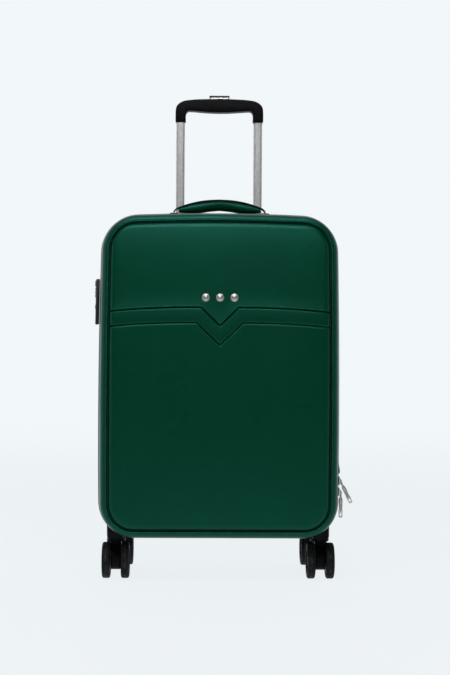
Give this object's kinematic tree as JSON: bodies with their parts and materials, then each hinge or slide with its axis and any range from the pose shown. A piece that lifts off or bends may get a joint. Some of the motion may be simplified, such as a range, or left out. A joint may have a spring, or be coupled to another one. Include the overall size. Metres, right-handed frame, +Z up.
{
  "type": "cabin suitcase",
  "caption": "Upright zip-opening cabin suitcase in leatherette, with a telescopic trolley handle, a sprung carry handle, a side combination lock and swivelling twin-wheel casters.",
  "frame": {"origin": "on the floor under the middle of the case, between the four casters", "axes": "+Z up, -Y out of the front panel, +X towards the hinge side, which is on the right seen from the front"},
  "size_m": [0.3964, 0.2267, 0.7615],
  "materials": {
    "leatherette": "satin grained",
    "edge_trim": "satin",
    "zip_tape": "woven",
    "steel": "polished nickel",
    "tube": "satin anodised",
    "black_plastic": "satin",
    "lock_plastic": "satin",
    "wheel_rubber": "matte",
    "lining": "woven",
    "button": "gloss"
  },
  "bodies": {
    "case": {"side_band": "leatherette", "rear_panel": "leatherette", "rear_lining": "lining", "trolley_cup": "black_plastic", "outer_tube_left": "tube", "outer_tube_right": "tube", "trolley_foot": "black_plastic", "zip_tape_case": "zip_tape", "upper_slider": "steel", "hinge_gusset": "leatherette", "lock_case": "lock_plastic", "handle_anchor_left": "black_plastic", "handle_anchor_right": "black_plastic", "caster_mount_front_left": "black_plastic", "caster_mount_front_right": "black_plastic", "caster_mount_rear_left": "black_plastic", "caster_mount_rear_right": "black_plastic", "packing_strap": "zip_tape", "strap_buckle": "black_plastic"},
    "lid": {"lid_band": "leatherette", "front_board": "lining", "upper_panel": "leatherette", "chevron_panel": "leatherette", "lower_panel": "leatherette", "front_piping": "edge_trim", "zip_tape_lid": "zip_tape", "stud_left": "steel", "stud_middle": "steel", "stud_right": "steel"},
    "trolley_middle": {"middle_tube_left": "tube", "middle_tube_right": "tube"},
    "trolley_inner": {"inner_tube_left": "tube", "inner_tube_right": "tube", "trolley_grip": "black_plastic"},
    "grip_button": {"grip_button": "button"},
    "carry_handle": {"carry_strap": "black_plastic", "carry_grip": "leatherette"},
    "lock_button": {"lock_button": "lock_plastic"},
    "lower_slider": {"lower_slider": "steel"},
    "upper_pull": {"upper_pull": "steel"},
    "lower_pull": {"lower_pull": "steel"},
    "lock_dial_1": {"lock_dial_1": "lock_plastic"},
    "lock_dial_2": {"lock_dial_2": "lock_plastic"},
    "lock_dial_3": {"lock_dial_3": "lock_plastic"},
    "caster_front_left": {"caster_fork_front_left": "black_plastic", "axle_front_left": "steel"},
    "wheel_front_left_a": {"wheel_front_left_a": "wheel_rubber"},
    "wheel_front_left_b": {"wheel_front_left_b": "wheel_rubber"},
    "caster_front_right": {"caster_fork_front_right": "black_plastic", "axle_front_right": "steel"},
    "wheel_front_right_a": {"wheel_front_right_a": "wheel_rubber"},
    "wheel_front_right_b": {"wheel_front_right_b": "wheel_rubber"},
    "caster_rear_left": {"caster_fork_rear_left": "black_plastic", "axle_rear_left": "steel"},
    "wheel_rear_left_a": {"wheel_rear_left_a": "wheel_rubber"},
    "wheel_rear_left_b": {"wheel_rear_left_b": "wheel_rubber"},
    "caster_rear_right": {"caster_fork_rear_right": "black_plastic", "axle_rear_right": "steel"},
    "wheel_rear_right_a": {"wheel_rear_right_a": "wheel_rubber"},
    "wheel_rear_right_b": {"wheel_rear_right_b": "wheel_rubber"}
  },
  "joints": [
    {"name": "lid_hinge", "type": "hinge", "parent": "case", "child": "lid", "pos_m": [0.192, -0.072, 0.3], "axis": [0, 0, 1], "range_deg": [0, 110], "deforming": ["hinge_gusset"]},
    {"name": "trolley_middle_slide", "type": "slide", "parent": "case", "child": "trolley_middle", "axis": [0, 0, 1], "range_m": [0, 0.24]},
    {"name": "trolley_inner_slide", "type": "slide", "parent": "trolley_middle", "child": "trolley_inner", "axis": [0, 0, 1], "range_m": [-0.194, 0]},
    {"name": "grip_button_press", "type": "slide", "parent": "trolley_inner", "child": "grip_button", "axis": [0, 0, -1], "range_m": [0, 0.004], "stiffness_N_per_m": 600, "springref_m": -0.002},
    {"name": "carry_handle_lift", "type": "slide", "parent": "case", "child": "carry_handle", "axis": [0, 0, 1], "range_m": [0, 0.018]},
    {"name": "lock_button_press", "type": "slide", "parent": "case", "child": "lock_button", "axis": [0.9959, 0.0883, -0.017], "range_m": [0, 0.0018], "stiffness_N_per_m": 400, "springref_m": -0.001},
    {"name": "lower_slider_run", "type": "slide", "parent": "case", "child": "lower_slider", "axis": [0, 0, -1], "range_m": [0, 0.008]},
    {"name": "upper_pull_swing", "type": "hinge", "parent": "case", "child": "upper_pull", "pos_m": [0.18689, -0.072, 0.1492], "axis": [0, -1, 0], "range_deg": [0, 110]},
    {"name": "lower_pull_swing", "type": "hinge", "parent": "lower_slider", "child": "lower_pull", "pos_m": [0.18674, -0.072, 0.1325], "axis": [0, -1, 0], "range_deg": [0, 25]},
    {"name": "lock_dial_1_turn", "type": "hinge", "parent": "case", "child": "lock_dial_1", "pos_m": [-0.18817, -0.05241, 0.44217], "axis": [0.017, 0, 0.9999], "continuous": true},
    {"name": "lock_dial_2_turn", "type": "hinge", "parent": "case", "child": "lock_dial_2", "pos_m": [-0.18826, -0.05241, 0.43698], "axis": [0.017, 0, 0.9999], "continuous": true},
    {"name": "lock_dial_3_turn", "type": "hinge", "parent": "case", "child": "lock_dial_3", "pos_m": [-0.18835, -0.05241, 0.43178], "axis": [0.017, 0, 0.9999], "continuous": true},
    {"name": "caster_front_left_swivel", "type": "hinge", "parent": "case", "child": "caster_front_left", "pos_m": [-0.1565, -0.047, 0.0275], "axis": [0, 0, 1], "continuous": true},
    {"name": "wheel_front_left_a_spin", "type": "hinge", "parent": "caster_front_left", "child": "wheel_front_left_a", "pos_m": [-0.1565, -0.062, 0.0275], "axis": [1, 0, 0], "continuous": true},
    {"name": "wheel_front_left_b_spin", "type": "hinge", "parent": "caster_front_left", "child": "wheel_front_left_b", "pos_m": [-0.1565, -0.062, 0.0275], "axis": [1, 0, 0], "continuous": true},
    {"name": "caster_front_right_swivel", "type": "hinge", "parent": "case", "child": "caster_front_right", "pos_m": [0.1565, -0.047, 0.0275], "axis": [0, 0, 1], "continuous": true},
    {"name": "wheel_front_right_a_spin", "type": "hinge", "parent": "caster_front_right", "child": "wheel_front_right_a", "pos_m": [0.1565, -0.062, 0.0275], "axis": [1, 0, 0], "continuous": true},
    {"name": "wheel_front_right_b_spin", "type": "hinge", "parent": "caster_front_right", "child": "wheel_front_right_b", "pos_m": [0.1565, -0.062, 0.0275], "axis": [1, 0, 0], "continuous": true},
    {"name": "caster_rear_left_swivel", "type": "hinge", "parent": "case", "child": "caster_rear_left", "pos_m": [-0.1565, 0.064, 0.0275], "axis": [0, 0, 1], "continuous": true},
    {"name": "wheel_rear_left_a_spin", "type": "hinge", "parent": "caster_rear_left", "child": "wheel_rear_left_a", "pos_m": [-0.1565, 0.079, 0.0275], "axis": [1, 0, 0], "continuous": true},
    {"name": "wheel_rear_left_b_spin", "type": "hinge", "parent": "caster_rear_left", "child": "wheel_rear_left_b", "pos_m": [-0.1565, 0.079, 0.0275], "axis": [1, 0, 0], "continuous": true},
    {"name": "caster_rear_right_swivel", "type": "hinge", "parent": "case", "child": "caster_rear_right", "pos_m": [0.1565, 0.064, 0.0275], "axis": [0, 0, 1], "continuous": true},
    {"name": "wheel_rear_right_a_spin", "type": "hinge", "parent": "caster_rear_right", "child": "wheel_rear_right_a", "pos_m": [0.1565, 0.079, 0.0275], "axis": [1, 0, 0], "continuous": true},
    {"name": "wheel_rear_right_b_spin", "type": "hinge", "parent": "caster_rear_right", "child": "wheel_rear_right_b", "pos_m": [0.1565, 0.079, 0.0275], "axis": [1, 0, 0], "continuous": true}
  ]
}
